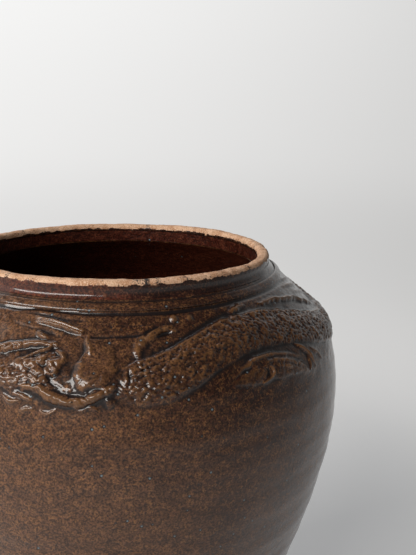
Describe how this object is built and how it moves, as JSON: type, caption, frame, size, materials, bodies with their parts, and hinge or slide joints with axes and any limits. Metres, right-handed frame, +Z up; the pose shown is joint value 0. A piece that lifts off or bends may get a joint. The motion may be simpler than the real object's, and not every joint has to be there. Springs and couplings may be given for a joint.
{
  "type": "martaban jar",
  "caption": "Wide-bellied stoneware storage jar with a short upright neck, a bare clay lip and applied dragon relief round the shoulder.",
  "frame": {"origin": "centre of the foot, on the surface that the jar stands on", "axes": "+Z up along the jar's axis; -Y is the front, which the picture shows; +X is to its right"},
  "size_m": [0.3072, 0.3072, 0.336],
  "materials": {
    "brown_glaze": "glossy mottled dark brown iron glaze with small pits",
    "relief_glaze": "the same glaze over applied relief, paler on ridges and darker in hollows",
    "bare_clay": "dry fired tan clay with dark iron specks"
  },
  "bodies": {
    "root": {"base_disc": "bare_clay", "lower_wall": "brown_glaze", "belly_wall": "brown_glaze", "shoulder_wall": "brown_glaze", "neck_collar": "brown_glaze", "rim_coil": "bare_clay", "shoulder_cordon": "relief_glaze", "front_head": "relief_glaze", "front_brow": "relief_glaze", "front_horns": "relief_glaze", "front_ear": "relief_glaze", "front_jaw": "relief_glaze", "front_mane": "relief_glaze", "front_body": "relief_glaze", "front_back_fin": "relief_glaze", "front_foreleg": "relief_glaze", "front_haunch": "relief_glaze", "front_hind_claws": "relief_glaze", "front_tail": "relief_glaze", "front_pearl": "relief_glaze", "rear_head": "relief_glaze", "rear_brow": "relief_glaze", "rear_horns": "relief_glaze", "rear_ear": "relief_glaze", "rear_jaw": "relief_glaze", "rear_mane": "relief_glaze", "rear_body": "relief_glaze", "rear_back_fin": "relief_glaze", "rear_foreleg": "relief_glaze", "rear_haunch": "relief_glaze", "rear_hind_claws": "relief_glaze", "rear_tail": "relief_glaze", "rear_pearl": "relief_glaze"}
  },
  "joints": []
}
